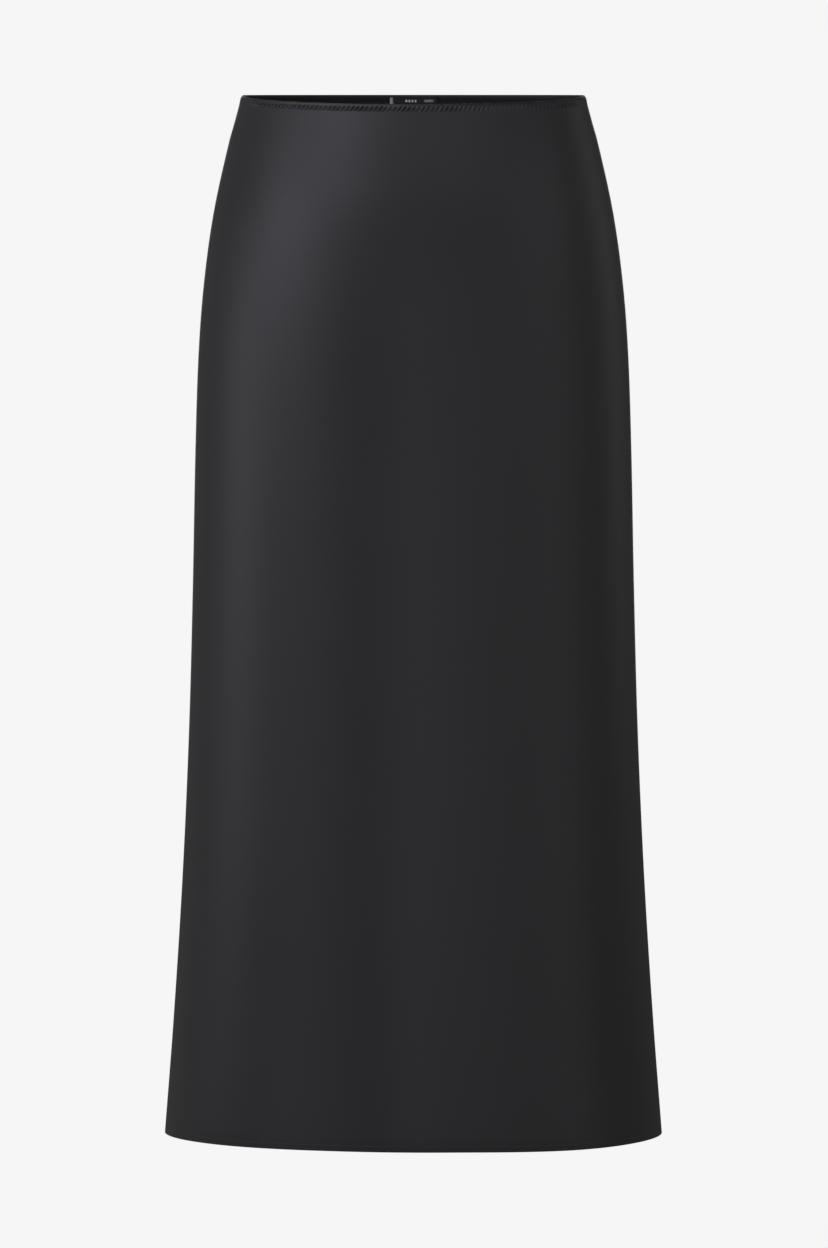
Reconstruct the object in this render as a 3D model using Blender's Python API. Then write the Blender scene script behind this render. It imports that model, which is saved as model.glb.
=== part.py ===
"""A long satin skirt with a narrow elastic waist, filled out as if worn and open at both ends.

Metres, +Z up, the front faces -Y. The origin is the middle of the waist opening, at the height of
the side seams' top ends. A front and a back panel of cloth meet at the two side seams. Each panel's
top edge is turned in over one elastic ring, and its lower edge is a narrow turned hem. A small
woven label lies on the inside of the back waist.
"""
import math
from collections import namedtuple

import bmesh
import bpy

# ---- driving dimensions -------------------------------------------------------------------------

# One row for each level section of the skirt: how far it lies below the waist at the side seam,
# half its width, and how far its front and its back reach from the side seams.
Section = namedtuple("Section", "drop half_width front back")
SECTIONS = (
    Section(drop=0.000, half_width=0.1457, front=0.0880, back=0.0880),
    Section(drop=0.020, half_width=0.1508, front=0.0925, back=0.0935),
    Section(drop=0.040, half_width=0.1564, front=0.0970, back=0.0995),
    Section(drop=0.100, half_width=0.1694, front=0.1080, back=0.1165),
    Section(drop=0.160, half_width=0.1776, front=0.1130, back=0.1270),
    Section(drop=0.220, half_width=0.1821, front=0.1155, back=0.1315),
    Section(drop=0.300, half_width=0.1847, front=0.1170, back=0.1330),
    Section(drop=0.420, half_width=0.1870, front=0.1195, back=0.1345),
    Section(drop=0.540, half_width=0.1902, front=0.1225, back=0.1375),
    Section(drop=0.660, half_width=0.1955, front=0.1270, back=0.1420),
    Section(drop=0.780, half_width=0.2030, front=0.1320, back=0.1475),
    Section(drop=0.878, half_width=0.2105, front=0.1370, back=0.1530),
)

WALL = 0.0010                # the cloth's wall
SEAM_GAP = 0.0003            # between pieces that are sewn together
FRONT_DIP = 0.0188           # how far the waist edge dips at the middle of the front
BACK_RISE = 0.0116           # how far it rises at the middle of the back
LEVEL_BELOW = 0.30           # sections lie level from this drop down

ELASTIC_HEIGHT = 0.0075
ELASTIC_THICK = 0.0010
TURN_DEPTH = 0.0095          # how far the waist edge is turned in
FOLD_RISE = 0.0016           # height of the rounded fold over the elastic
FOLD_STEPS = 6

HEM_DEPTH = 0.0065           # the narrow turned hem
HEM_THICK = 0.0020

LABEL_WIDTH = 0.042
LABEL_HEIGHT = 0.0120
LABEL_THICK = 0.0010
LABEL_DROP = 0.0016          # the label's upper edge below the waist edge

LABEL_GAP = 0.0004           # clear of the back panel's flat strips

ROW_SPACING = 0.062          # at most this far between rows of points
PANEL_COLUMNS = 32           # strips of cloth from side seam to side seam
LABEL_COLUMNS = 8
SHARP_EDGE = math.radians(40)

FRONT = -1                   # the side of the skirt that a half ring lies on, along Y
BACK = 1


# ---- the skirt's form ---------------------------------------------------------------------------

def section_value(field, drop):
    """Read one column of the sections at any drop, on a smooth curve through the rows."""
    last = len(SECTIONS) - 1
    index = 0
    while index < last - 1 and SECTIONS[index + 1].drop < drop:
        index += 1
    start, end = SECTIONS[index], SECTIONS[index + 1]
    span = end.drop - start.drop

    def slope(row):
        before, after = SECTIONS[max(row - 1, 0)], SECTIONS[min(row + 1, last)]
        return (getattr(after, field) - getattr(before, field)) / (after.drop - before.drop)

    share = (drop - start.drop) / span
    start_weight = (1 + 2 * share) * (1 - share) ** 2
    end_weight = share ** 2 * (3 - 2 * share)
    start_slope_weight = share * (1 - share) ** 2
    end_slope_weight = share ** 2 * (share - 1)
    return (start_weight * getattr(start, field) + end_weight * getattr(end, field)
            + span * (start_slope_weight * slope(index) + end_slope_weight * slope(index + 1)))


def waist_tilt(side, drop, out):
    """Height that the tilted waist adds to a row, from 0 at the seams to all of it in the middle."""
    fade = max(0.0, 1.0 - drop / LEVEL_BELOW) ** 2
    rise = BACK_RISE if side == BACK else -FRONT_DIP
    return rise * out * fade


def cloth_point(side, turn, drop, inset):
    """A point of the cloth: turn runs 0 to pi over one side, inset is measured inwards."""
    half_width = section_value("half_width", drop)
    depth = section_value("back" if side == BACK else "front", drop)
    across, out = math.cos(turn), math.sin(turn)
    normal_x, normal_y = across / half_width, out / depth
    length = math.hypot(normal_x, normal_y)
    x = half_width * across - inset * normal_x / length
    y = depth * out - inset * normal_y / length
    z = waist_tilt(side, drop, out) - drop
    return (x, side * (y + SEAM_GAP / 2), z)


# ---- meshes -------------------------------------------------------------------------------------

def loft(name, rings, closed, colour, roughness):
    """Join equal rings of points into one closed solid, as a ring itself or with flat ends."""
    mesh = bpy.data.meshes.new(name)
    build = bmesh.new()
    loops = [[build.verts.new(point) for point in ring] for ring in rings]
    pairs = list(zip(loops, loops[1:]))
    if closed:
        pairs.append((loops[-1], loops[0]))
    else:
        build.faces.new(loops[0])
        build.faces.new(loops[-1])
    for loop, following in pairs:
        for index in range(len(loop)):
            after = (index + 1) % len(loop)
            build.faces.new((loop[index], loop[after], following[after], following[index]))
    bmesh.ops.recalc_face_normals(build, faces=build.faces)
    build.to_mesh(mesh)
    build.free()
    mesh.shade_smooth()
    mesh.set_sharp_from_angle(angle=SHARP_EDGE)
    mesh.materials.append(finish(name, colour, roughness))
    piece = bpy.data.objects.new(name, mesh)
    bpy.context.scene.collection.objects.link(piece)
    return piece


def finish(name, colour, roughness):
    """A plain cloth finish."""
    material = bpy.data.materials.new(name)
    material.use_nodes = True
    shader = material.node_tree.nodes["Principled BSDF"]
    shader.inputs["Base Color"].default_value = (*colour, 1.0)
    shader.inputs["Roughness"].default_value = roughness
    shader.inputs["Metallic"].default_value = 0.0
    return material


# ---- panels -------------------------------------------------------------------------------------

FOLD_THICK = 2 * WALL + ELASTIC_THICK + 2 * SEAM_GAP
FOLD_UNDER = WALL + SEAM_GAP          # drop of the inside of the fold, above the elastic


def row_drops():
    """Drops of the rows of points between the waist turn and the hem turn."""
    drops = []
    for start, end in zip(SECTIONS[1:], SECTIONS[2:]):
        strips = math.ceil((end.drop - start.drop) / ROW_SPACING)
        height = (end.drop - start.drop) / strips
        drops += [start.drop + height * strip for strip in range(strips)]
    return drops


def panel_profile():
    """The cut edge of a panel, as (inset, drop): outside, waist turn, inside and hem turn."""
    drops = row_drops()
    hem = SECTIONS[-1].drop
    outside = [(0.0, hem)] + [(0.0, drop) for drop in reversed(drops)] + [(0.0, TURN_DEPTH)]
    fold = []
    for step in range(FOLD_STEPS + 1):
        angle = math.pi * step / FOLD_STEPS
        fold.append((FOLD_THICK / 2 * (1 - math.cos(angle)), FOLD_RISE * (1 - math.sin(angle))))
    turn_in = [
        (FOLD_THICK, TURN_DEPTH),
        (FOLD_THICK - WALL, TURN_DEPTH),
        (FOLD_THICK - WALL, FOLD_UNDER),
        (WALL, FOLD_UNDER),
    ]
    inside = [(WALL, TURN_DEPTH)] + [(WALL, drop) for drop in drops]
    hem_turn = [(WALL, hem - HEM_DEPTH), (HEM_THICK, hem - HEM_DEPTH), (HEM_THICK, hem)]
    return outside + fold + turn_in + inside + hem_turn


def panel(name, side):
    """Half of the skirt, from side seam to side seam."""
    profile = panel_profile()
    rings = []
    for column in range(PANEL_COLUMNS + 1):
        turn = math.pi * column / PANEL_COLUMNS
        rings.append([cloth_point(side, turn, drop, inset) for inset, drop in profile])
    return loft(name, rings, closed=False, colour=(0.018, 0.018, 0.020), roughness=0.45)


# ---- elastic ------------------------------------------------------------------------------------

def waist_elastic():
    """The elastic ring, inside the turned waist edge of both panels."""
    near, far = WALL + SEAM_GAP, WALL + SEAM_GAP + ELASTIC_THICK
    top = FOLD_UNDER + SEAM_GAP
    profile = [(near, top), (far, top), (far, top + ELASTIC_HEIGHT), (near, top + ELASTIC_HEIGHT)]
    rings = []
    for side, turns in ((FRONT, range(PANEL_COLUMNS + 1)), (BACK, range(PANEL_COLUMNS, -1, -1))):
        for column in turns:
            turn = math.pi * column / PANEL_COLUMNS
            rings.append([cloth_point(side, turn, drop, inset) for inset, drop in profile])
    return loft("waist_elastic", rings, closed=True, colour=(0.02, 0.02, 0.02), roughness=0.8)


# ---- label --------------------------------------------------------------------------------------

def woven_label():
    """The label hangs on the inside of the back waist turn, sewn in along its upper edge."""
    near = FOLD_THICK + LABEL_GAP
    far = near + LABEL_THICK
    bottom = LABEL_DROP + LABEL_HEIGHT
    profile = [(near, LABEL_DROP), (far, LABEL_DROP), (far, bottom), (near, bottom)]
    half_turn = math.asin(LABEL_WIDTH / 2 / (SECTIONS[0].half_width - far))
    rings = []
    for column in range(LABEL_COLUMNS + 1):
        turn = math.pi / 2 + half_turn * (1 - 2 * column / LABEL_COLUMNS)
        rings.append([cloth_point(BACK, turn, drop, inset) for inset, drop in profile])
    return loft("woven_label", rings, closed=False, colour=(0.012, 0.014, 0.022), roughness=0.4)


# ---- the skirt ----------------------------------------------------------------------------------

for old in list(bpy.data.objects):
    bpy.data.objects.remove(old, do_unlink=True)

panel("front_panel", FRONT)
panel("back_panel", BACK)
waist_elastic()
woven_label()
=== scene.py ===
"""A long black satin skirt with a narrow elastic waist, dressed over its fixed frame.

The file follows the skirt as it is sewn: front panel, back panel, side seams, hem, elastic, zigzag
and label, and then the studio. Metres, +Z up, the front faces -Y, and the waist is at the origin.
"""
import math
from collections import namedtuple

import bmesh
import bpy
import numpy as np
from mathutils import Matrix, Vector, noise


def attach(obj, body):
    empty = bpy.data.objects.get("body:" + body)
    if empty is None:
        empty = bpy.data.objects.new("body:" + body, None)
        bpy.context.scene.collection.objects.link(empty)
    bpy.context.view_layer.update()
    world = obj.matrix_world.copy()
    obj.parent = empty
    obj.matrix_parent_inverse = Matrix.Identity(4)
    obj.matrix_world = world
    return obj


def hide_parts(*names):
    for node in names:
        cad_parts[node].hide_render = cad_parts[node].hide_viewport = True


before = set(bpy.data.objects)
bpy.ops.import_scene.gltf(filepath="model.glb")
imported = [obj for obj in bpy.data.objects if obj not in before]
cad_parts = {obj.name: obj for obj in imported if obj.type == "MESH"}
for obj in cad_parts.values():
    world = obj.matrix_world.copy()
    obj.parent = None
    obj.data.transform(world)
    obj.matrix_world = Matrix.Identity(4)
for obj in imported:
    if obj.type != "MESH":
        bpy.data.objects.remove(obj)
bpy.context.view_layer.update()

# ---- front panel --------------------------------------------------------------------------------
# The front of the skirt: one piece of black satin, cut on the bias, from side seam to side seam.
# The lower edge is a narrow hem turned to the inside. The upper edge is turned in over a narrow
# elastic and caught down with a zigzag, which draws small slanting dents into the cloth.

# One row for each level girth: how far below the waist it lies at the side seam, half its width,
# and how far the front and the back reach from the side seams.
Girth = namedtuple("Girth", "drop half_width front back")
GIRTHS = (
    Girth(drop=0.000, half_width=0.1457, front=0.0880, back=0.0880),
    Girth(drop=0.020, half_width=0.1508, front=0.0925, back=0.0935),
    Girth(drop=0.040, half_width=0.1564, front=0.0970, back=0.0995),
    Girth(drop=0.100, half_width=0.1694, front=0.1080, back=0.1165),
    Girth(drop=0.160, half_width=0.1776, front=0.1130, back=0.1270),
    Girth(drop=0.220, half_width=0.1821, front=0.1155, back=0.1315),
    Girth(drop=0.300, half_width=0.1847, front=0.1170, back=0.1330),
    Girth(drop=0.420, half_width=0.1870, front=0.1195, back=0.1345),
    Girth(drop=0.540, half_width=0.1902, front=0.1225, back=0.1375),
    Girth(drop=0.660, half_width=0.1955, front=0.1270, back=0.1420),
    Girth(drop=0.780, half_width=0.2030, front=0.1320, back=0.1475),
    Girth(drop=0.878, half_width=0.2105, front=0.1370, back=0.1530),
)
FRONT, BACK = -1, 1              # which way a panel lies from the side seams, along Y
FRONT_DIP = 0.0188               # the waist edge dips this much at the middle of the front
BACK_RISE = 0.0116               # and rises this much at the middle of the back
LEVEL_BELOW = 0.30               # the tilt of the waist has died out this far down
HEM_LEVEL = GIRTHS[-1].drop

SATIN_THICK = 0.0003
WAIST_ROUND = 0.0017             # half the thickness of the soft fold over the elastic
WAIST_RISE = 0.0028              # height of that fold's round top
TURN_DEPTH = 0.0092              # depth of the turned waist edge
BAND_FOOT = 0.0100               # fine rows of cloth reach from the waist down to here
HEM_ROUND = 0.00045              # radius of the fold along the hem
HEM_DEPTH = 0.0060               # depth of the turned hem
SEAM_ROUND = 0.0006              # radius with which a panel's edge turns into the side seam
SEAM_HOLLOW = 0.00015            # the seam pulls the cloth in this much,
SEAM_HOLLOW_WIDTH = 0.0045       # over this far to each side
SEAM_COLUMNS = (0.0, 0.00010, 0.00025, 0.00045)    # columns of cloth that follow that turn

ZIGZAGS = 96                     # zigzags on each panel
COLUMNS_PER_ZIGZAG = 8
ZIGZAG_TOP, ZIGZAG_FOOT = 0.0024, 0.0068     # below the waist edge
RISE_SHARE = 0.55                # of each zigzag's length is its rising leg
BAND_PROUD = 0.00015             # the round top of the band stands out this far,
BAND_PRESSED = 0.00005           # and its foot is pressed in this far,
BAND_RELEASE = 0.008             # which dies out over this much of the cloth below
GATHER_REACH = 0.72              # the gathers reach this many zigzag heights up and down from its middle,
GATHER_FADE = 0.30               # and die out over this many
RISE_GROOVE, FALL_GROOVE = 0.0008, 0.0001    # the legs draw the cloth in this much,
RISE_WIDTH, FALL_WIDTH = 0.0008, 0.0005      # over this far to each side,
PUFF_HEIGHT = 0.0007             # and between the legs the cloth puffs out
INNER_PULL = 0.2                 # the turned cloth is drawn in this much as far as the outer
UNEVEN_PULL, UNEVEN_WAVES = 0.5, 30          # the pull changes by this share, this often along a panel
UNEVEN_SHIFT = 3.0               # which sets the changes on the back apart from those on the front
# How hard the stitches pull along a panel: shares of its length, and the pull there.
PULL_SHARES = (0.0, 0.08, 0.13, 0.22, 0.30, 0.36, 0.62, 0.68, 0.74, 0.80, 0.87, 0.92, 1.0)
PULLS = (0.1, 0.15, 1.1, 1.0, 0.8, 1.15, 1.0, 0.35, 0.35, 1.0, 0.9, 0.2, 0.1)

BODY_ROWS = 66
BAND_ROWS = 17
FOLD_ROWS = 10
WAIST_TURN_ROWS = 10
HEM_TURN_ROWS = 6


def girth_at(drop):
    """Half width, front reach and back reach at any drop, on a smooth curve through the girths."""
    last = len(GIRTHS) - 1
    index = 0
    while index < last - 1 and GIRTHS[index + 1].drop < drop:
        index += 1
    start, end = GIRTHS[index], GIRTHS[index + 1]
    span = end.drop - start.drop
    share = (drop - start.drop) / span
    sizes = []
    for size in range(1, len(start)):
        slopes = []
        for row in (index, index + 1):
            before, after = GIRTHS[max(row - 1, 0)], GIRTHS[min(row + 1, last)]
            slopes.append((after[size] - before[size]) / (after.drop - before.drop))
        sizes.append((1 + 2 * share) * (1 - share) ** 2 * start[size]
                     + share ** 2 * (3 - 2 * share) * end[size]
                     + span * share * (1 - share) * ((1 - share) * slopes[0] - share * slopes[1]))
    return sizes


def on_form(side, turn, drop, inset):
    """A point of the skirt's form. turn runs from 0 at the +X seam to pi at the -X one."""
    half_width, front, back = girth_at(drop)
    reach = front if side == FRONT else back
    across, out = math.cos(turn), math.sin(turn)
    normal_x, normal_y = across / half_width, out / reach
    length = math.hypot(normal_x, normal_y)
    rise = BACK_RISE if side == BACK else -FRONT_DIP
    tilt = rise * out * max(0.0, 1.0 - drop / LEVEL_BELOW) ** 2
    return Vector((half_width * across - inset * normal_x / length,
                   side * (reach * out - inset * normal_y / length),
                   tilt - drop))


# A soft hollow or swell of the hanging cloth: where along the panel and how far down it is
# deepest, how wide and how long it is, and how far it goes in (or out, below 0).
Drape = namedtuple("Drape", "share drop width height depth")
# Where the hem hangs lower than level: where along the panel, over what share of it, and how far.
HemDip = namedtuple("HemDip", "share width depth")
# A panel: where it lies, how long its waist is, its turns at equal shares of that, and its hang.
Panel = namedtuple("Panel", "side waist_length turns drapes hem_dip")
TURN_STEPS = 720                 # the turns of a panel are kept at this many shares of its waist


def laid_panel(side, drapes, hem_dip):
    """A panel with its waist measured out, so that a share of its length gives a turn."""
    fine_turns = np.linspace(0.0, math.pi, TURN_STEPS + 1)
    points = [on_form(side, turn, 0.0, 0.0) for turn in fine_turns]
    steps = [(after - before).length for before, after in zip(points, points[1:])]
    lengths = np.append(0.0, np.cumsum(steps))
    shares = np.linspace(0.0, 1.0, TURN_STEPS + 1)
    if side == FRONT:            # shares run left to right, as the panel is seen from outside
        shares = shares[::-1]
    turns = np.interp(shares * lengths[-1], lengths, fine_turns)
    return Panel(side, float(lengths[-1]), turns.tolist(), drapes, hem_dip)


def turn_at(panel, share):
    """The turn round the form at a share of the panel's waist."""
    place = min(max(share, 0.0), 1.0) * TURN_STEPS
    step = min(int(place), TURN_STEPS - 1)
    return panel.turns[step] + (place - step) * (panel.turns[step + 1] - panel.turns[step])


def half_girth(panel, drop):
    """The length of a panel from side seam to side seam at some drop."""
    half_width, front, back = girth_at(drop)
    reach = front if panel.side == FRONT else back
    return math.pi * math.sqrt((half_width ** 2 + reach ** 2) / 2)


def smooth_step(place):
    """0 below 0, 1 above 1, and a smooth rise between."""
    place = min(1.0, max(0.0, place))
    return place * place * (3 - 2 * place)


def zigzag_height(drop):
    """0 at the foot of the zigzag and 1 at its top."""
    return (ZIGZAG_FOOT - drop) / (ZIGZAG_FOOT - ZIGZAG_TOP)


def gathered(panel, share, drop):
    """How far in the zigzag draws the cloth here: most along its legs, and out between them. The
    pull is a little uneven."""
    height = zigzag_height(drop)
    fade = smooth_step((GATHER_REACH - abs(height - 0.5)) / GATHER_FADE)
    if fade == 0.0:
        return 0.0
    reached = min(1.0, max(0.0, height))
    phase = share * ZIGZAGS
    pitch = panel.waist_length / ZIGZAGS
    legs = ((RISE_SHARE * reached, RISE_GROOVE, RISE_WIDTH),
            (1.0 - (1.0 - RISE_SHARE) * reached, FALL_GROOVE, FALL_WIDTH))
    drawn = -PUFF_HEIGHT
    for leg, depth, width in legs:
        apart = abs((phase - leg + 0.5) % 1.0 - 0.5) * pitch
        drawn = max(drawn, (PUFF_HEIGHT + depth) * math.exp(-(apart / width) ** 2) - PUFF_HEIGHT)
    pull = float(np.interp(share, PULL_SHARES, PULLS))
    change = noise.noise(Vector((share * UNEVEN_WAVES, UNEVEN_SHIFT * panel.side, 0)))
    return fade * drawn * pull * (1.0 + UNEVEN_PULL * change)


def band_inset(drop, facing):
    """How far in the whole band lies, apart from its gathers."""
    pressed = smooth_step((drop - WAIST_RISE) / (ZIGZAG_FOOT - WAIST_RISE))
    if facing < 0:
        return -BAND_PROUD * (1 + pressed)
    released = smooth_step((drop - ZIGZAG_FOOT) / BAND_RELEASE)
    return -BAND_PROUD + (BAND_PROUD + BAND_PRESSED) * pressed - BAND_PRESSED * released


def cloth_at(panel, share, drop, inset=0.0, facing=1):
    """A point of a panel's cloth. share runs 0 to 1 from seam to seam, left to right as seen from
    outside, inset is inwards, and facing is 1 on outer cloth and below 0 on the turned waist."""
    inset += band_inset(drop, facing)
    seam_distance = min(share, 1 - share) * panel.waist_length
    inset += SEAM_HOLLOW * math.exp(-(seam_distance / SEAM_HOLLOW_WIDTH) ** 2)
    if seam_distance < SEAM_ROUND:
        inset += SEAM_ROUND - math.sqrt(SEAM_ROUND ** 2 - (SEAM_ROUND - seam_distance) ** 2)
    else:
        inset += facing * gathered(panel, share, drop)
    girth = half_girth(panel, drop)
    for drape in panel.drapes:
        across = (share - drape.share) * girth / drape.width
        down = (drop - drape.drop) / drape.height
        inset += drape.depth * math.exp(-across * across - down * down)
    dip = panel.hem_dip.depth * math.exp(-((share - panel.hem_dip.share) / panel.hem_dip.width) ** 2)
    point = on_form(panel.side, turn_at(panel, share), drop, inset)
    point.z -= dip * (drop / HEM_LEVEL) ** 3
    return point


# A row of a panel's cloth: how far down and how far in it lies, and which way it faces.
Row = namedtuple("Row", "drop inset facing")


def cloth_rows():
    """A panel's rows, from the sewn edge of the hem round its fold, up, and over the elastic."""
    rows = []
    for step in range(HEM_TURN_ROWS):
        share = step / HEM_TURN_ROWS
        rows.append(Row(HEM_LEVEL - HEM_DEPTH + share * (HEM_DEPTH - HEM_ROUND), 2 * HEM_ROUND, 1))
    for step in range(FOLD_ROWS):
        angle = math.pi * step / FOLD_ROWS
        rows.append(Row(HEM_LEVEL - HEM_ROUND * (1 - math.sin(angle)),
                        HEM_ROUND * (1 + math.cos(angle)), 1))
    body_height = HEM_LEVEL - HEM_ROUND - BAND_FOOT
    for step in range(BODY_ROWS):
        rows.append(Row(HEM_LEVEL - HEM_ROUND - body_height * step / BODY_ROWS, 0.0, 1))
    for step in range(BAND_ROWS):
        rows.append(Row(BAND_FOOT - (BAND_FOOT - WAIST_RISE) * step / BAND_ROWS, 0.0, 1))
    for step in range(FOLD_ROWS):
        angle = math.pi * step / FOLD_ROWS
        rows.append(Row(WAIST_RISE * (1 - math.sin(angle)), WAIST_ROUND * (1 - math.cos(angle)),
                        0))
    for step in range(WAIST_TURN_ROWS + 1):
        share = step / WAIST_TURN_ROWS
        rows.append(Row(WAIST_RISE + share * (TURN_DEPTH - WAIST_RISE), 2 * WAIST_ROUND, -INNER_PULL))
    return rows


LONGEST_ROW = 1000.0     # more than the columns of a row


def reading_place(part):
    """Where an edge or a face of the flat cloth comes when it is read row by row."""
    corners = len(part.verts)
    row = round(2 * sum(vert.co.y for vert in part.verts) / corners)
    return LONGEST_ROW * row + sum(vert.co.x for vert in part.verts) / corners


def satin_panel(name, panel):
    """One panel: the flat cloth is cut into a grid, fine only where it is gathered by the zigzag,
    and then wrapped onto the skirt's form with its edges turned in."""
    rows = cloth_rows()
    seam = [distance / panel.waist_length for distance in SEAM_COLUMNS]
    shares = seam + [column / ZIGZAGS for column in range(1, ZIGZAGS)]
    shares += [1 - share for share in reversed(seam)]
    columns = len(shares) - 1
    band_line = HEM_TURN_ROWS + FOLD_ROWS + BODY_ROWS
    build = bmesh.new()
    bmesh.ops.create_grid(build, x_segments=columns, y_segments=band_line, size=0.5)
    for vert in build.verts:
        vert.co = ((vert.co.x + 0.5) * columns, (vert.co.y + 0.5) * band_line, 0.0)
    top = [edge for edge in build.edges if min(vert.co.y for vert in edge.verts) > band_line - 0.5]
    fine = [edge for edge in top
            if len(seam) - 1 < (edge.verts[0].co.x + edge.verts[1].co.x) / 2 < columns - len(seam) + 1]
    bmesh.ops.bisect_edges(build, edges=fine, cuts=COLUMNS_PER_ZIGZAG - 1)
    top = [edge for edge in build.edges if min(vert.co.y for vert in edge.verts) > band_line - 0.5]
    for line in range(band_line + 1, len(rows)):
        made = bmesh.ops.extrude_edge_only(build, edges=top)["geom"]
        top = [piece for piece in made if isinstance(piece, bmesh.types.BMEdge)]
        raised = [piece for piece in made if isinstance(piece, bmesh.types.BMVert)]
        bmesh.ops.translate(build, verts=raised, vec=(0.0, 1.0, 0.0))
    for parts in (build.edges, build.faces):     # extruding makes them in another order each run
        parts.sort(key=reading_place)
    bmesh.ops.recalc_face_normals(build, faces=build.faces)
    along = [0.0]
    for before, after in zip(rows, rows[1:]):
        along.append(along[-1] + math.hypot(after.drop - before.drop, after.inset - before.inset))
    fold_line = band_line + BAND_ROWS + FOLD_ROWS // 2
    flat = {}
    share_of = {}
    for vert in build.verts:
        line = round(vert.co.y)
        share = float(np.interp(vert.co.x, range(columns + 1), shares))
        if line > band_line:     # these columns lean along the rising legs, but not at the seams
            lean = RISE_SHARE * min(1.0, max(0.0, zigzag_height(rows[line].drop))) / ZIGZAGS
            share += lean * min(1.0, share * ZIGZAGS / 2, (1 - share) * ZIGZAGS / 2)
        share_of[vert] = share
        flat[vert] = ((share - 0.5) * half_girth(panel, rows[line].drop), along[line])
    cloth_map = build.loops.layers.uv.new("cloth")
    for face in build.faces:
        for loop in face.loops:
            loop[cloth_map].uv = flat[loop.vert]
        # Faces past the top of the waist fold take the duller wrong-side finish. The turned cloth there
        # shows the satin's face, so on it this finish is painted shade inside the waist.
        face.material_index = 1 if face.calc_center_median().y > fold_line else 0
        face.smooth = True
    for vert in build.verts:
        row = rows[round(vert.co.y)]
        vert.co = cloth_at(panel, share_of[vert], row.drop, row.inset, row.facing)
    build.normal_update()
    middle = max(build.faces, key=lambda face: face.calc_area())
    if middle.normal.dot(Vector((*middle.calc_center_median().xy, 0.0))) < 0:
        bmesh.ops.reverse_faces(build, faces=build.faces)
    mesh = bpy.data.meshes.new(name)
    build.to_mesh(mesh)
    build.free()
    for finish in (satin, satin_for_wrong_side_and_painted_shade, satin_for_wrong_side_and_painted_shade):
        mesh.materials.append(finish)
    made = bpy.data.objects.new(name, mesh)
    bpy.context.scene.collection.objects.link(made)
    thickness = made.modifiers.new("cloth thickness", "SOLIDIFY")
    thickness.thickness = SATIN_THICK
    thickness.offset = -1.0
    thickness.material_offset = 1
    return made


def shader_node(material, kind, **sockets):
    """A shader node of a material, with some of its input sockets set or linked."""
    made = material.node_tree.nodes.new(kind)
    for socket_name, value in sockets.items():
        socket = made.inputs[socket_name.replace("_", " ")]
        if isinstance(value, bpy.types.NodeSocket):
            material.node_tree.links.new(value, socket)
        else:
            socket.default_value = value
    return made


FLOATS_PER_METRE = (2600.0, 420.0, 1.0)      # across the warp and along it
ROUGHNESS_CHANGE = 0.015


def satin_finish(name, dark, light, roughness, gloss, float_height):
    """Polyester satin: a colour that varies a little, and a fine diagonal grain of warp floats."""
    finish = bpy.data.materials.new(name)
    finish.use_nodes = True
    shader = finish.node_tree.nodes["Principled BSDF"]
    cloth = shader_node(finish, "ShaderNodeUVMap")
    cloth.uv_map = "cloth"
    tone = shader_node(finish, "ShaderNodeTexNoise", Vector=cloth.outputs["UV"], Scale=9.0, Detail=3.0)
    colour = shader_node(finish, "ShaderNodeValToRGB", Fac=tone.outputs["Fac"])
    colour.color_ramp.elements[0].position = 0.3
    colour.color_ramp.elements[0].color = (*dark, 1.0)
    colour.color_ramp.elements[1].position = 0.7
    colour.color_ramp.elements[1].color = (*light, 1.0)
    bias = shader_node(finish, "ShaderNodeMapping", Vector=cloth.outputs["UV"])
    bias.inputs["Rotation"].default_value = (0.0, 0.0, math.radians(45))
    bias.inputs["Scale"].default_value = FLOATS_PER_METRE
    floats = shader_node(finish, "ShaderNodeTexNoise", Vector=bias.outputs["Vector"], Scale=1.0,
                         Detail=1.0)
    weave = shader_node(finish, "ShaderNodeBump", Height=floats.outputs["Fac"], Strength=0.1,
                        Distance=float_height)
    gloss_change = shader_node(finish, "ShaderNodeMapRange", Value=tone.outputs["Fac"])
    gloss_change.inputs["To Min"].default_value = roughness - ROUGHNESS_CHANGE
    gloss_change.inputs["To Max"].default_value = roughness + ROUGHNESS_CHANGE
    finish.node_tree.links.new(colour.outputs["Color"], shader.inputs["Base Color"])
    finish.node_tree.links.new(gloss_change.outputs["Result"], shader.inputs["Roughness"])
    finish.node_tree.links.new(weave.outputs["Normal"], shader.inputs["Normal"])
    shader.inputs["Specular IOR Level"].default_value = gloss
    return finish


satin = satin_finish("black_satin", dark=(0.0150, 0.0149, 0.0168), light=(0.0172, 0.0170, 0.0193),
                     roughness=0.43, gloss=0.5, float_height=0.0001)
# The duller wrong side of the satin: real on the hidden inner faces and the seam allowances, and painted
# shade on the turned waist band, which shows the satin's face.
satin_for_wrong_side_and_painted_shade = satin_finish("black_satin_for_wrong_side_and_painted_shade", dark=(0.0180, 0.0180, 0.0186),
                                light=(0.0205, 0.0205, 0.0212), roughness=0.6, gloss=0.25,
                                float_height=0.0002)

FRONT_DRAPES = (
    Drape(share=0.22, drop=0.80, width=0.040, height=0.26, depth=-0.0008),
    Drape(share=0.36, drop=0.86, width=0.030, height=0.20, depth=0.0006),
    Drape(share=0.48, drop=0.84, width=0.032, height=0.16, depth=-0.0005),
    Drape(share=0.58, drop=0.87, width=0.026, height=0.18, depth=0.0007),
    Drape(share=0.74, drop=0.82, width=0.038, height=0.24, depth=-0.0008),
    Drape(share=0.88, drop=0.78, width=0.034, height=0.22, depth=0.0006),
)
front = laid_panel(FRONT, FRONT_DRAPES, HemDip(share=0.78, width=0.18, depth=0.0022))
front_satin = satin_panel("front_panel_satin", front)
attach(front_satin, "root")
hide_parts("front_panel")

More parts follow.
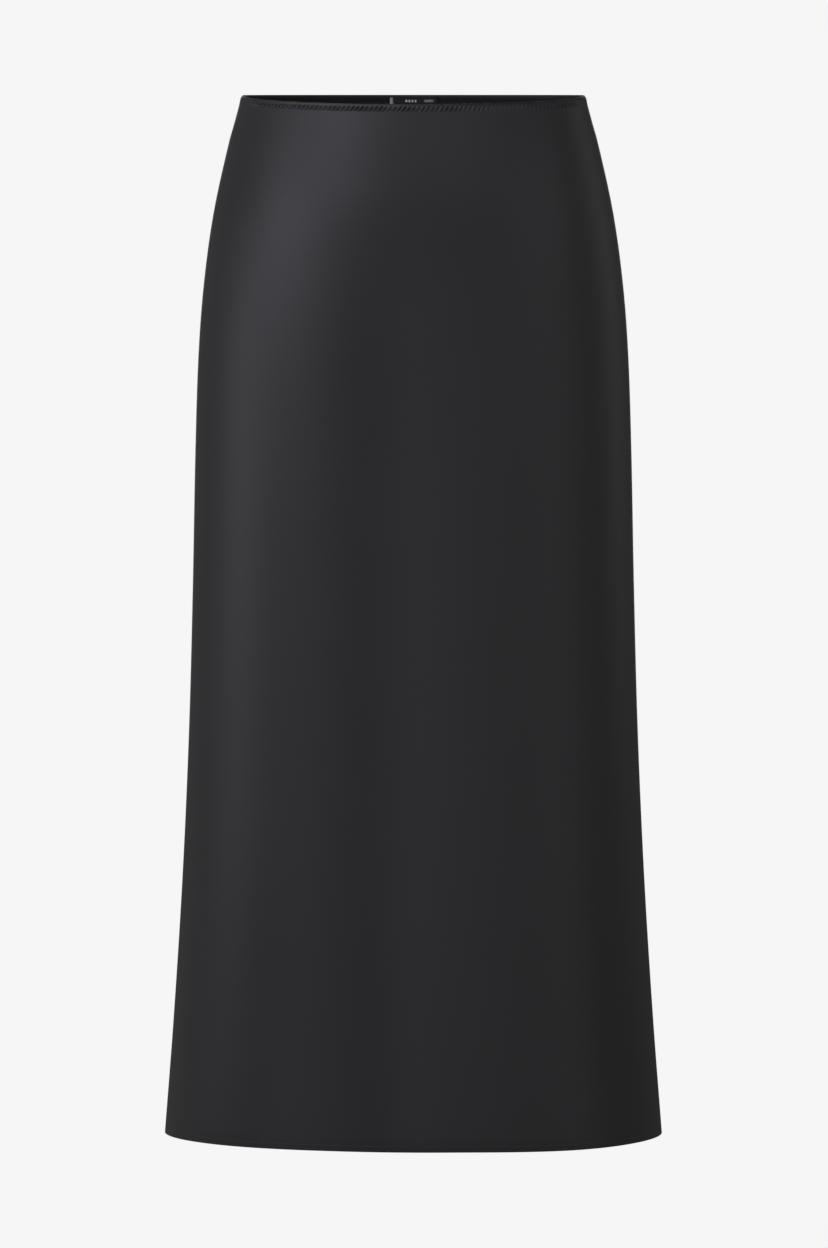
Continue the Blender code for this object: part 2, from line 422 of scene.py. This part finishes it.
# ---- back panel ---------------------------------------------------------------------------------
# The back of the skirt: the same satin and the same turned edges as the front, a little deeper at
# the seat and higher at the waist.
BACK_DRAPES = (
    Drape(share=0.14, drop=0.80, width=0.036, height=0.24, depth=0.0007),
    Drape(share=0.30, drop=0.84, width=0.040, height=0.30, depth=-0.0010),
    Drape(share=0.50, drop=0.62, width=0.045, height=0.34, depth=0.0012),
    Drape(share=0.66, drop=0.85, width=0.034, height=0.26, depth=-0.0009),
    Drape(share=0.82, drop=0.83, width=0.036, height=0.24, depth=0.0006),
)
back = laid_panel(BACK, BACK_DRAPES, HemDip(share=0.40, width=0.22, depth=0.0012))
back_satin = satin_panel("back_panel_satin", back)
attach(back_satin, "root")
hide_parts("back_panel")

# ---- side seams ---------------------------------------------------------------------------------
# Inside each side seam the two edges of satin lie together, overlocked along their free edge and
# pressed towards the back, from below the elastic down to the turned hem.
ALLOWANCE_WIDTH = 0.0080
ALLOWANCE_THICK = 2 * SATIN_THICK
ALLOWANCE_INSET = 0.00034        # just clear of the back panel's wrong side
ALLOWANCE_COLUMNS, ALLOWANCE_ROWS = 5, 110
ALLOWANCE_TOP = TURN_DEPTH + 0.0006
ALLOWANCE_FOOT = HEM_LEVEL - HEM_DEPTH - 0.0004
FREE_EDGE_LIFT = 0.0004          # the free edge stands this far off the panel,
LIFT_WAVES = 30                  # a little more or less this often along each metre


def allowance_at(right, drop, distance, inset):
    """A point on the seam allowance, some distance from the side seam. right is towards +X."""
    share = (SEAM_ROUND + distance) / half_girth(back, drop)
    return cloth_at(back, share if right else 1 - share, drop, inset)


def seam_allowance(name, right):
    """The two pressed edges of one side seam, as one strip that follows the back panel."""
    build = bmesh.new()
    bmesh.ops.create_grid(build, x_segments=ALLOWANCE_COLUMNS, y_segments=ALLOWANCE_ROWS, size=0.5)
    cloth_map = build.loops.layers.uv.new("cloth")
    for face in build.faces:
        face.smooth = True
        for loop in face.loops:
            loop[cloth_map].uv = (loop.vert.co.x * ALLOWANCE_WIDTH, loop.vert.co.y * HEM_LEVEL)
    for vert in build.verts:
        distance = (vert.co.x + 0.5) * ALLOWANCE_WIDTH
        drop = ALLOWANCE_FOOT + (vert.co.y + 0.5) * (ALLOWANCE_TOP - ALLOWANCE_FOOT)
        change = noise.noise(Vector((0, 0, LIFT_WAVES * drop)))
        lift = FREE_EDGE_LIFT * (distance / ALLOWANCE_WIDTH) ** 2 * (1 + change)
        vert.co = allowance_at(right, drop, distance, ALLOWANCE_INSET + ALLOWANCE_THICK + lift)
    build.normal_update()
    if next(iter(build.faces)).normal.dot(next(iter(build.verts)).co) > 0:
        bmesh.ops.reverse_faces(build, faces=build.faces)
    mesh = bpy.data.meshes.new(name)
    build.to_mesh(mesh)
    build.free()
    mesh.materials.append(satin_for_wrong_side_and_painted_shade)
    made = bpy.data.objects.new(name, mesh)
    bpy.context.scene.collection.objects.link(made)
    thickness = made.modifiers.new("two layers", "SOLIDIFY")
    thickness.thickness = ALLOWANCE_THICK
    thickness.offset = -1.0
    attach(made, "root")
    return made


def thread_finish(name, colour, roughness, gloss):
    """Spun polyester thread: a dull, slightly fuzzy gloss."""
    finish = bpy.data.materials.new(name)
    finish.use_nodes = True
    shader = finish.node_tree.nodes["Principled BSDF"]
    place = shader_node(finish, "ShaderNodeTexCoord")
    fibre = shader_node(finish, "ShaderNodeTexNoise", Vector=place.outputs["Object"], Scale=4200.0)
    tone = shader_node(finish, "ShaderNodeMixRGB", Fac=fibre.outputs["Fac"])
    tone.inputs["Color1"].default_value = (*[0.8 * value for value in colour], 1.0)
    tone.inputs["Color2"].default_value = (*[1.2 * value for value in colour], 1.0)
    twist = shader_node(finish, "ShaderNodeBump", Height=fibre.outputs["Fac"], Strength=0.3,
                        Distance=0.00002)
    finish.node_tree.links.new(tone.outputs["Color"], shader.inputs["Base Color"])
    finish.node_tree.links.new(twist.outputs["Normal"], shader.inputs["Normal"])
    shader.inputs["Roughness"].default_value = roughness
    shader.inputs["Specular IOR Level"].default_value = gloss
    return finish


def thread(name, runs, radius, finish):
    """Sewing thread along one or more runs of points."""
    curve = bpy.data.curves.new(name, "CURVE")
    curve.dimensions = "3D"
    curve.bevel_depth = radius
    curve.bevel_resolution = 1
    curve.use_fill_caps = True
    for points in runs:
        spline = curve.splines.new("POLY")
        spline.points.add(len(points) - 1)
        for place, point in zip(spline.points, points):
            place.co = (*point, 1.0)
    curve.materials.append(finish)
    made = bpy.data.objects.new(name, curve)
    bpy.context.scene.collection.objects.link(made)
    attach(made, "root")
    return made


# The thread is black. Its colour is lifted to a dark grey as painted sheen, which stands in for the
# thread's glints.
black_thread_with_painted_sheen = thread_finish("black_thread_with_painted_sheen", colour=(0.072, 0.071, 0.074), roughness=0.35, gloss=0.9)

OVERLOCK_PITCH = 0.0024
OVERLOCK_RADIUS = 0.00010
OVERLOCK_WIDTH = 0.0042          # from the free edge in to the line of the needle
NEEDLE_LINE = ALLOWANCE_WIDTH - OVERLOCK_WIDTH
OVERLOCK_FACE = ALLOWANCE_INSET + ALLOWANCE_THICK + 0.0005
# Where a thread passes in each stitch: at what share of the pitch, how far from the side seam, and
# how far above the middle of the threads on the allowance's face.
Pass = namedtuple("Pass", "share distance rise")
LOOP_PASSES = (
    Pass(share=0.00, distance=NEEDLE_LINE, rise=-0.0003),
    Pass(share=0.15, distance=NEEDLE_LINE + 0.0003, rise=0.0),
    Pass(share=0.40, distance=ALLOWANCE_WIDTH - 0.0004, rise=0.0002),
    Pass(share=0.50, distance=ALLOWANCE_WIDTH + 0.0001, rise=-0.0002),
    Pass(share=0.60, distance=ALLOWANCE_WIDTH - 0.0004, rise=0.0002),
    Pass(share=0.85, distance=NEEDLE_LINE + 0.0003, rise=0.0),
)
NEEDLE_PASSES = (
    Pass(share=0.0, distance=NEEDLE_LINE, rise=-0.00035),
    Pass(share=0.5, distance=NEEDLE_LINE, rise=-0.00005),
)


def overlock(right):
    """The overlock along one allowance: loops that reach in from the free edge and wrap round it,
    and the needle thread where they turn back."""
    stitches = int((ALLOWANCE_FOOT - ALLOWANCE_TOP) / OVERLOCK_PITCH)
    runs = []
    for passes in (LOOP_PASSES, NEEDLE_PASSES):
        runs.append([allowance_at(right, ALLOWANCE_TOP + (stitch + 0.5 + place.share) * OVERLOCK_PITCH,
                                  place.distance, OVERLOCK_FACE + place.rise)
                     for stitch in range(stitches) for place in passes])
    return runs


allowances = [seam_allowance("left_side_seam_allowance", right=False),
              seam_allowance("right_side_seam_allowance", right=True)]
allowances.append(thread("left_side_seam_overlock", overlock(False), OVERLOCK_RADIUS, black_thread_with_painted_sheen))
allowances.append(thread("right_side_seam_overlock", overlock(True), OVERLOCK_RADIUS, black_thread_with_painted_sheen))

# ---- hem stitching ------------------------------------------------------------------------------
# A line of fine lockstitch holds the turned hem. On the inside each stitch lies on the turned
# edge, and outside it sinks so far into the black satin that it hardly shows.
HEM_STITCH_DROP = HEM_LEVEL - 0.0048
HEM_STITCHES = 200               # on each panel
STITCH_RADIUS = 0.00009
STITCH_SHARE = 0.86              # of each stitch's length that lies on the cloth
STITCH_DIP = 0.0002              # how far its two ends dip into the cloth
# Shares of a stitch's length, and how much of that dip it has there.
STITCH_PLACES = ((0.0, 1.0), (0.12, 0.2), (0.5, 0.0), (0.88, 0.2), (1.0, 1.0))
OUTSIDE_INSET = 0.00003          # the inset of the stitches outside the hem,
INSIDE_INSET = 2 * HEM_ROUND + 0.00004       # and of those on its turned edge


def lockstitch(panel, drop, count, inset, sink):
    """A row of stitches along a panel, each dipping into the cloth at both of its ends."""
    runs = []
    for stitch in range(count):
        start = (stitch + 0.5 * (1 - STITCH_SHARE)) / count
        length = STITCH_SHARE / count
        runs.append([cloth_at(panel, start + length * share, drop, inset + sink * depth, facing=0)
                     for share, depth in STITCH_PLACES])
    return runs


hem_outside = (lockstitch(front, HEM_STITCH_DROP, HEM_STITCHES, OUTSIDE_INSET, STITCH_DIP)
               + lockstitch(back, HEM_STITCH_DROP, HEM_STITCHES, OUTSIDE_INSET, STITCH_DIP))
hem_inside = (lockstitch(front, HEM_STITCH_DROP, HEM_STITCHES, INSIDE_INSET, -STITCH_DIP)
              + lockstitch(back, HEM_STITCH_DROP, HEM_STITCHES, INSIDE_INSET, -STITCH_DIP))
hem_stitching = thread("hem_stitching", hem_outside + hem_inside, STITCH_RADIUS, black_thread_with_painted_sheen)

# ---- elastic ------------------------------------------------------------------------------------
# One ring of narrow knitted elastic inside the turned waist edge, with fine upright ribs. It shows
# only from below, between the two layers of the turn.
ELASTIC_TOP, ELASTIC_FOOT = 0.0017, 0.0089
ELASTIC_OUTER, ELASTIC_INNER = 0.00165, 0.00215      # insets of its two faces
RIBS = 130                       # on each half of the ring
RIB_HEIGHT = 0.00007


def elastic_finish():
    """Black knitted elastic: matt yarn, with a fine ribbed knit."""
    finish = bpy.data.materials.new("black_elastic")
    finish.use_nodes = True
    shader = finish.node_tree.nodes["Principled BSDF"]
    place = shader_node(finish, "ShaderNodeTexCoord")
    knit = shader_node(finish, "ShaderNodeTexNoise", Vector=place.outputs["Object"], Scale=1500.0)
    tone = shader_node(finish, "ShaderNodeMixRGB", Fac=knit.outputs["Fac"])
    tone.inputs["Color1"].default_value = (0.014, 0.014, 0.014, 1.0)
    tone.inputs["Color2"].default_value = (0.024, 0.024, 0.024, 1.0)
    loops = shader_node(finish, "ShaderNodeBump", Height=knit.outputs["Fac"], Strength=0.5,
                        Distance=0.00005)
    finish.node_tree.links.new(tone.outputs["Color"], shader.inputs["Base Color"])
    finish.node_tree.links.new(loops.outputs["Normal"], shader.inputs["Normal"])
    shader.inputs["Roughness"].default_value = 0.85
    shader.inputs["Specular IOR Level"].default_value = 0.3
    return finish


def elastic_ring():
    """The ring: a flat grid, wrapped along both panels and round the four sides of the ribbed band,
    and closed on itself."""
    corners = ((ELASTIC_OUTER, ELASTIC_TOP), (ELASTIC_OUTER, ELASTIC_FOOT),
               (ELASTIC_INNER, ELASTIC_FOOT), (ELASTIC_INNER, ELASTIC_TOP))
    steps = 2 * RIBS             # on each half
    build = bmesh.new()
    bmesh.ops.create_grid(build, x_segments=2 * steps, y_segments=len(corners), size=0.5)
    for vert in build.verts:
        step = round((vert.co.x + 0.5) * 2 * steps) % (2 * steps)
        inset, drop = corners[round((vert.co.y + 0.5) * len(corners)) % len(corners)]
        rib = RIB_HEIGHT * (0.5 if step % 2 else -0.5)
        out = rib if inset == ELASTIC_OUTER else -rib
        panel = front if step < steps else back
        vert.co = cloth_at(panel, (step % steps) / steps, drop, inset + out, facing=0)
    bmesh.ops.remove_doubles(build, verts=build.verts, dist=0.000001)
    bmesh.ops.recalc_face_normals(build, faces=build.faces)
    mesh = bpy.data.meshes.new("waist_elastic_band")
    build.to_mesh(mesh)
    build.free()
    mesh.materials.append(elastic_finish())
    made = bpy.data.objects.new("waist_elastic_band", mesh)
    bpy.context.scene.collection.objects.link(made)
    return made


elastic_band = elastic_ring()
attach(elastic_band, "root")
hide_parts("waist_elastic")

# ---- zigzag stitching ---------------------------------------------------------------------------
# A zigzag through the waist edge and the elastic, in black thread. One leg of each zigzag lies on
# the cloth, in its dent, and the other is drawn down so far that it hardly shows.
ZIGZAG_THREAD_RADIUS = 0.00026
RISE_SUNK, FALL_SUNK = -0.00012, 0.0004      # how far each leg lies below the cloth's face
# How each leg lies: shares of its length, and how far it is lifted there. It starts in a hole.
LIFT_SHARES = (0.0, 0.15, 0.38, 0.62, 0.85)
LIFTS = (-0.00025, 0.00010, 0.00014, 0.00014, 0.00010)


def zigzag_run(panel, inset, facing):
    """The thread of the zigzag along one face of a panel, from seam to seam."""
    points = []
    for zigzag in range(1, ZIGZAGS - 1):
        foot = (zigzag, ZIGZAG_FOOT)
        top = (zigzag + RISE_SHARE, ZIGZAG_TOP)
        following = (zigzag + 1, ZIGZAG_FOOT)
        for start, end, sunk in ((foot, top, RISE_SUNK), (top, following, FALL_SUNK)):
            for step, lift in zip(LIFT_SHARES, LIFTS):
                share = (start[0] + step * (end[0] - start[0])) / ZIGZAGS
                drop = start[1] + step * (end[1] - start[1])
                sink = math.copysign(sunk - lift, facing)
                points.append(cloth_at(panel, share, drop, inset + sink, facing))
    return points


zigzag_outside = [zigzag_run(front, 0.0, 1), zigzag_run(back, 0.0, 1)]
zigzag_inside = [zigzag_run(front, 2 * WAIST_ROUND, -INNER_PULL),
                 zigzag_run(back, 2 * WAIST_ROUND, -INNER_PULL)]
zigzag_stitching = [thread("zigzag_outside", zigzag_outside, ZIGZAG_THREAD_RADIUS, black_thread_with_painted_sheen),
                    thread("zigzag_inside", zigzag_inside, ZIGZAG_THREAD_RADIUS, black_thread_with_painted_sheen)]

# ---- label --------------------------------------------------------------------------------------
# A small dark navy woven label on the inside of the back waist. Its two ends are folded under, and
# it is sewn down with a few pale stitches at one end. It carries four woven diamonds and two bars.
LABEL_WIDTH, LABEL_HEIGHT = 0.0418, 0.0120
LABEL_TOP = 0.0010               # below the waist edge
LABEL_THICK = 0.00022
LABEL_CLEAR = 0.00045            # between the turned waist and the ends that are folded under
LABEL_INSET = 2 * WAIST_ROUND + LABEL_CLEAR + 2 * LABEL_THICK
LABEL_UNDER = 0.0055             # how far each end is folded under
LABEL_FOLD = 0.00018             # radius of those folds
LABEL_CURL = 0.0005              # the lower edge stands off the back by this much
UNDER_COLUMNS, CURVE_COLUMNS, FACE_COLUMNS = 4, 5, 40
LABEL_ROWS = 12
PICKS_PER_METRE = (900.0, 900.0, 5200.0)     # of yarn: long across the label, fine down it


def label_at(across, down, lift=0.0):
    """A point of the label's face: across runs left to right, as the label shows from the front."""
    share = 0.5 - across / back.waist_length
    curl = LABEL_CURL * (down / LABEL_HEIGHT) ** 2
    return cloth_at(back, share, LABEL_TOP + down, LABEL_INSET + curl + lift, facing=0)


def label_finish():
    """Tightly woven polyester: fine cross ribs, a dull navy that is almost black."""
    finish = bpy.data.materials.new("navy_label")
    finish.use_nodes = True
    shader = finish.node_tree.nodes["Principled BSDF"]
    place = shader_node(finish, "ShaderNodeTexCoord")
    grain = shader_node(finish, "ShaderNodeMapping", Vector=place.outputs["Object"])
    grain.inputs["Scale"].default_value = PICKS_PER_METRE
    picks = shader_node(finish, "ShaderNodeTexNoise", Vector=grain.outputs["Vector"], Scale=1.0)
    tone = shader_node(finish, "ShaderNodeMixRGB", Fac=picks.outputs["Fac"])
    tone.inputs["Color1"].default_value = (0.0220, 0.0212, 0.0285, 1.0)
    tone.inputs["Color2"].default_value = (0.0285, 0.0275, 0.0370, 1.0)
    ribs = shader_node(finish, "ShaderNodeBump", Height=picks.outputs["Fac"], Strength=0.4,
                       Distance=0.00004)
    finish.node_tree.links.new(tone.outputs["Color"], shader.inputs["Base Color"])
    finish.node_tree.links.new(ribs.outputs["Normal"], shader.inputs["Normal"])
    shader.inputs["Roughness"].default_value = 0.55
    shader.inputs["Specular IOR Level"].default_value = 0.3
    return finish


def woven_label():
    """The label: one flat strip, wrapped along the back waist with its ends folded under."""
    half = LABEL_WIDTH / 2 - LABEL_FOLD
    left_end = []
    for step in range(UNDER_COLUMNS):
        left_end.append((-half + LABEL_UNDER * (1 - step / UNDER_COLUMNS), 2 * LABEL_FOLD))
    for step in range(CURVE_COLUMNS):
        angle = math.pi * step / CURVE_COLUMNS
        left_end.append((-half - LABEL_FOLD * math.sin(angle), LABEL_FOLD * (1 + math.cos(angle))))
    flat = [(-half + 2 * half * step / FACE_COLUMNS, 0.0) for step in range(FACE_COLUMNS + 1)]
    columns = left_end + flat + [(-across, under) for across, under in reversed(left_end)]
    build = bmesh.new()
    bmesh.ops.create_grid(build, x_segments=len(columns) - 1, y_segments=LABEL_ROWS, size=0.5)
    for face in build.faces:
        face.smooth = True
    for vert in build.verts:
        across, under = columns[round((vert.co.x + 0.5) * (len(columns) - 1))]
        vert.co = label_at(across, (0.5 - vert.co.y) * LABEL_HEIGHT, -under)
    build.normal_update()
    middle = min(build.faces, key=lambda face: abs(face.calc_center_median().x))
    if middle.normal.y > 0:
        bmesh.ops.reverse_faces(build, faces=build.faces)
    mesh = bpy.data.meshes.new("woven_label_cloth")
    build.to_mesh(mesh)
    build.free()
    mesh.materials.append(label_finish())
    made = bpy.data.objects.new("woven_label_cloth", mesh)
    bpy.context.scene.collection.objects.link(made)
    thickness = made.modifiers.new("label thickness", "SOLIDIFY")
    thickness.thickness = LABEL_THICK
    thickness.offset = -1.0
    return made


label = woven_label()
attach(label, "root")
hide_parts("woven_label")

PALE_THREAD_RADIUS = 0.00026
DIAMONDS = 4
DIAMOND_WIDTH, DIAMOND_HEIGHT = 0.0024, 0.0026
DIAMOND_PITCH = 1.12 * DIAMOND_WIDTH
DIAMOND_PICKS = 7
MARKS_DOWN = 0.0042              # the middle of the woven marks, below the label's top
DIAMONDS_AT, BARS_AT = -0.0022, 0.0135       # the middles of the diamonds and of the bars, across
BAR_LENGTH = 0.0080
BARS_APART = 0.0012
END_STITCHES = 12
END_STITCHES_DOWN, END_STITCH_PITCH = 0.0018, 0.0006     # the first below the label's top, and the rest
# Where the thread of each end stitch passes: from the label's left end, and above its face.
END_STITCH_PLACES = ((0.0003, -0.0002), (0.0007, 0.0001), (0.0027, 0.0001), (0.0031, -0.0002))


def woven_marks():
    """Short raised picks of pale yarn: a row of diamonds, and a pair of plain bars beside it."""
    runs = []
    for diamond in range(DIAMONDS):
        middle = DIAMONDS_AT + (diamond - (DIAMONDS - 1) / 2) * DIAMOND_PITCH
        for pick in range(DIAMOND_PICKS):
            height = (pick + 0.5) / DIAMOND_PICKS - 0.5
            half = DIAMOND_WIDTH * (0.5 - abs(height))
            down = MARKS_DOWN + height * DIAMOND_HEIGHT
            runs.append([label_at(middle - half, down), label_at(middle + half, down)])
    for bar in (-0.5, 0.5):
        down = MARKS_DOWN + bar * BARS_APART
        runs.append([label_at(BARS_AT + end * BAR_LENGTH, down) for end in (-0.5, 0.5)])
    return runs


def end_stitches():
    """The pale stitches that hold the label's left end, one above the other."""
    runs = []
    for stitch in range(END_STITCHES):
        down = END_STITCHES_DOWN + stitch * END_STITCH_PITCH
        runs.append([label_at(place - LABEL_WIDTH / 2, down, lift) for place, lift in END_STITCH_PLACES])
    return runs


pale_thread = thread_finish("pale_thread", colour=(0.66, 0.66, 0.67), roughness=0.6, gloss=0.4)
label_marks = thread("woven_label_marks", woven_marks(), PALE_THREAD_RADIUS, pale_thread)
label_stitches = thread("woven_label_stitches", end_stitches(), PALE_THREAD_RADIUS, pale_thread)

# ---- studio -------------------------------------------------------------------------------------
# A pale floor runs into an equally pale background, so that no horizon shows. The key softboxes
# stand on the left, from high to low, with weaker ones overhead, in front, on the right and behind,
# and the room is a little bright far to the left and right.
WAIST_PIXEL_Y = 95.1             # the waist at the side seams, in the photo's 828 x 1248 frame
MIDDLE_PIXEL_X = 413.4
PICTURE_WIDTH, PICTURE_HEIGHT = 828, 1248
METRES_PER_PIXEL = 0.880 / 1038.5
CAMERA_DISTANCE = 3.4
SENSOR = 36.0
PALE = 0.92
LEFT_WALL, RIGHT_WALL = 0.30, 0.19    # how bright the room is far to the left and to the right
FLOOR_LEVEL = -1.10

camera_data = bpy.data.cameras.new("camera")
camera_data.sensor_width = SENSOR
camera_data.lens = SENSOR * CAMERA_DISTANCE / (PICTURE_HEIGHT * METRES_PER_PIXEL)
camera = bpy.data.objects.new("camera", camera_data)
bpy.context.scene.collection.objects.link(camera)
camera.location = ((PICTURE_WIDTH / 2 - MIDDLE_PIXEL_X) * METRES_PER_PIXEL, -CAMERA_DISTANCE,
                   -(PICTURE_HEIGHT / 2 - WAIST_PIXEL_Y) * METRES_PER_PIXEL)
camera.rotation_euler = (math.radians(90), 0.0, 0.0)
bpy.context.scene.camera = camera

Softbox = namedtuple("Softbox", "name azimuth elevation width height watts tint")
NEUTRAL, VIOLET = (1.0, 0.99, 1.03), (1.0, 0.96, 1.09)
SOFTBOXES = (
    Softbox("key_top", azimuth=-60, elevation=60, width=1.2, height=0.8, watts=6.4, tint=VIOLET),
    Softbox("key_high", azimuth=-30, elevation=42, width=0.7, height=0.7, watts=4.6, tint=VIOLET),
    Softbox("key_middle", azimuth=-45, elevation=24, width=0.7, height=0.7, watts=3.6, tint=VIOLET),
    Softbox("key_lower", azimuth=-60, elevation=24, width=0.8, height=0.8, watts=3.9, tint=VIOLET),
    Softbox("key_low", azimuth=-75, elevation=8, width=0.8, height=0.8, watts=3.4, tint=VIOLET),
    Softbox("left_low", azimuth=-90, elevation=8, width=0.8, height=1.2, watts=0.8, tint=VIOLET),
    Softbox("left_foot", azimuth=-35, elevation=-8, width=0.8, height=1.2, watts=2.0, tint=NEUTRAL),
    Softbox("overhead", azimuth=-50, elevation=78, width=1.2, height=0.8, watts=4.4, tint=NEUTRAL),
    Softbox("front", azimuth=0, elevation=0, width=0.8, height=1.8, watts=4.1, tint=NEUTRAL),
    Softbox("front_right", azimuth=20, elevation=0, width=0.8, height=1.8, watts=2.3, tint=NEUTRAL),
    Softbox("right_near", azimuth=40, elevation=0, width=0.8, height=1.8, watts=1.6, tint=NEUTRAL),
    Softbox("right_far", azimuth=60, elevation=0, width=0.8, height=1.8, watts=2.1, tint=NEUTRAL),
    Softbox("right_upper", azimuth=15, elevation=42, width=1.4, height=0.7, watts=3.2, tint=NEUTRAL),
    Softbox("right_high", azimuth=55, elevation=30, width=1.4, height=0.8, watts=2.3, tint=NEUTRAL),
    Softbox("right_rear", azimuth=110, elevation=20, width=1.0, height=1.8, watts=2.0, tint=NEUTRAL),
    Softbox("rear", azimuth=180, elevation=15, width=1.8, height=1.8, watts=12.0, tint=NEUTRAL),
)
BOX_DISTANCE = 2.6               # from the middle of the skirt
SKIRT_MIDDLE = Vector((0.0, 0.0, -0.44))
for softbox in SOFTBOXES:
    azimuth, elevation = math.radians(softbox.azimuth), math.radians(softbox.elevation)
    towards = Vector((math.sin(azimuth) * math.cos(elevation),
                      -math.cos(azimuth) * math.cos(elevation), math.sin(elevation)))
    light_data = bpy.data.lights.new(softbox.name, "AREA")
    light_data.shape = "RECTANGLE"
    light_data.size = softbox.width
    light_data.size_y = softbox.height
    light_data.energy = softbox.watts
    light_data.color = softbox.tint
    light = bpy.data.objects.new(softbox.name, light_data)
    light.location = SKIRT_MIDDLE + towards * BOX_DISTANCE
    light.rotation_euler = (-towards).to_track_quat("-Z", "Y").to_euler()
    light.visible_camera = False
    bpy.context.scene.collection.objects.link(light)

floor_build = bmesh.new()
bmesh.ops.create_grid(floor_build, x_segments=8, y_segments=8, size=30.0)
bmesh.ops.translate(floor_build, verts=floor_build.verts, vec=(0.0, 0.0, FLOOR_LEVEL))
floor_mesh = bpy.data.meshes.new("floor")
floor_build.to_mesh(floor_mesh)
floor_build.free()
floor_finish = bpy.data.materials.new("pale_floor")
floor_finish.use_nodes = True
floor_shader = floor_finish.node_tree.nodes["Principled BSDF"]
floor_shader.inputs["Base Color"].default_value = (0.0, 0.0, 0.0, 1.0)
floor_shader.inputs["Specular IOR Level"].default_value = 0.0
floor_shader.inputs["Emission Color"].default_value = (PALE, PALE, PALE, 1.0)
floor_shader.inputs["Emission Strength"].default_value = 1.0
floor_mesh.materials.append(floor_finish)
floor = bpy.data.objects.new("floor", floor_mesh)
floor.visible_diffuse = False
floor.visible_glossy = False
bpy.context.scene.collection.objects.link(floor)

world = bpy.data.worlds.new("studio")
world.use_nodes = True
world_nodes = world.node_tree
towards_side = world_nodes.nodes.new("ShaderNodeTexCoord")
side_parts = world_nodes.nodes.new("ShaderNodeSeparateXYZ")
side_place = world_nodes.nodes.new("ShaderNodeMapRange")
side_place.inputs["From Min"].default_value = -1.0
room = world_nodes.nodes.new("ShaderNodeValToRGB")
room.color_ramp.elements[0].color = (LEFT_WALL, LEFT_WALL, LEFT_WALL, 1.0)
room.color_ramp.elements[1].color = (RIGHT_WALL, RIGHT_WALL, RIGHT_WALL, 1.0)
room.color_ramp.elements.new(0.5).color = (0.0, 0.0, 0.0, 1.0)
surround = world_nodes.nodes["Background"]
backdrop = world_nodes.nodes.new("ShaderNodeBackground")
backdrop.inputs["Color"].default_value = (PALE, PALE, PALE, 1.0)
ray = world_nodes.nodes.new("ShaderNodeLightPath")
seen = world_nodes.nodes.new("ShaderNodeMixShader")
world_nodes.links.new(towards_side.outputs["Generated"], side_parts.inputs["Vector"])
world_nodes.links.new(side_parts.outputs["X"], side_place.inputs["Value"])
world_nodes.links.new(side_place.outputs["Result"], room.inputs["Fac"])
world_nodes.links.new(room.outputs["Color"], surround.inputs["Color"])
world_nodes.links.new(ray.outputs["Is Camera Ray"], seen.inputs["Fac"])
world_nodes.links.new(surround.outputs["Background"], seen.inputs[1])
world_nodes.links.new(backdrop.outputs["Background"], seen.inputs[2])
world_nodes.links.new(seen.outputs["Shader"], world_nodes.nodes["World Output"].inputs["Surface"])
bpy.context.scene.world = world
bpy.context.scene.view_settings.view_transform = "Standard"
